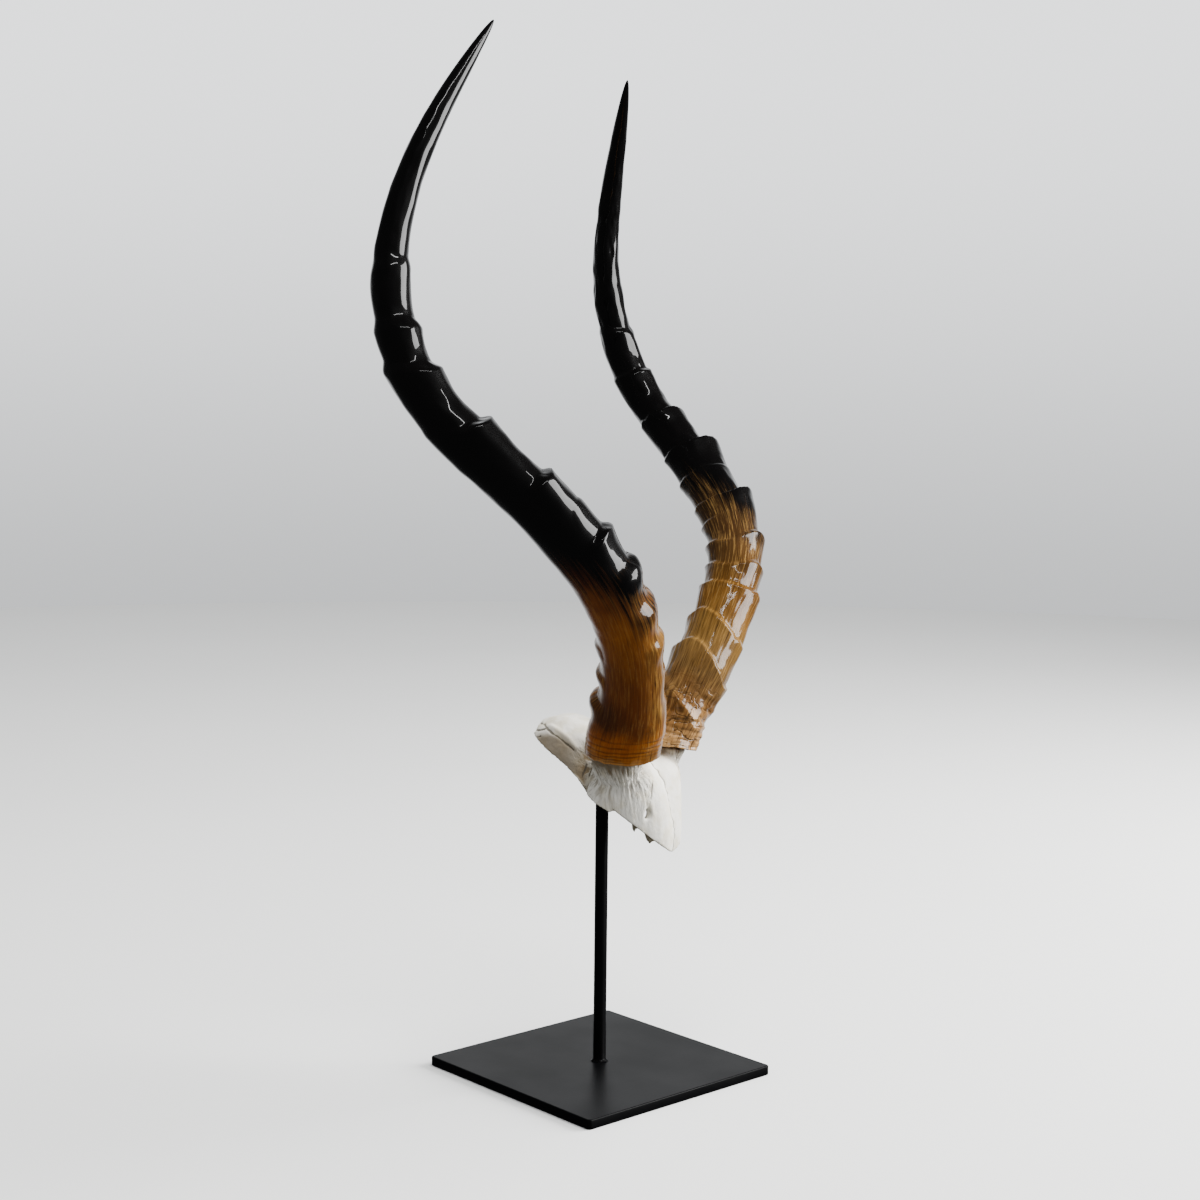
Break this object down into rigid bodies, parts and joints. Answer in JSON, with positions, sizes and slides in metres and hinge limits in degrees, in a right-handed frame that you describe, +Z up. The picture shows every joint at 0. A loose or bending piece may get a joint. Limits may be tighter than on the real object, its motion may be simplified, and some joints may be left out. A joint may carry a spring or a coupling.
{
  "type": "impala horns on a stand",
  "caption": "Lyre-shaped ringed antelope horns on a sawn cap of skull, held up by a thin rod on a square plate.",
  "frame": {"origin": "middle of the base plate's underside, on the rod's axis", "axes": "+Z up along the rod; the forehead faces -Y and the animal's left horn is on +X"},
  "size_m": [0.3325, 0.1954, 0.626],
  "materials": {
    "stand_steel": "matt black powder coat",
    "bone": "bleached, dry and slightly chalky",
    "horn": "natural horn under clear gloss lacquer, black at the tips and amber brown at the base"
  },
  "bodies": {
    "root": {"base_plate": "stand_steel", "stem_rod": "stand_steel", "skull_cap": "bone", "horn_left": "horn", "horn_right": "horn"}
  },
  "joints": []
}
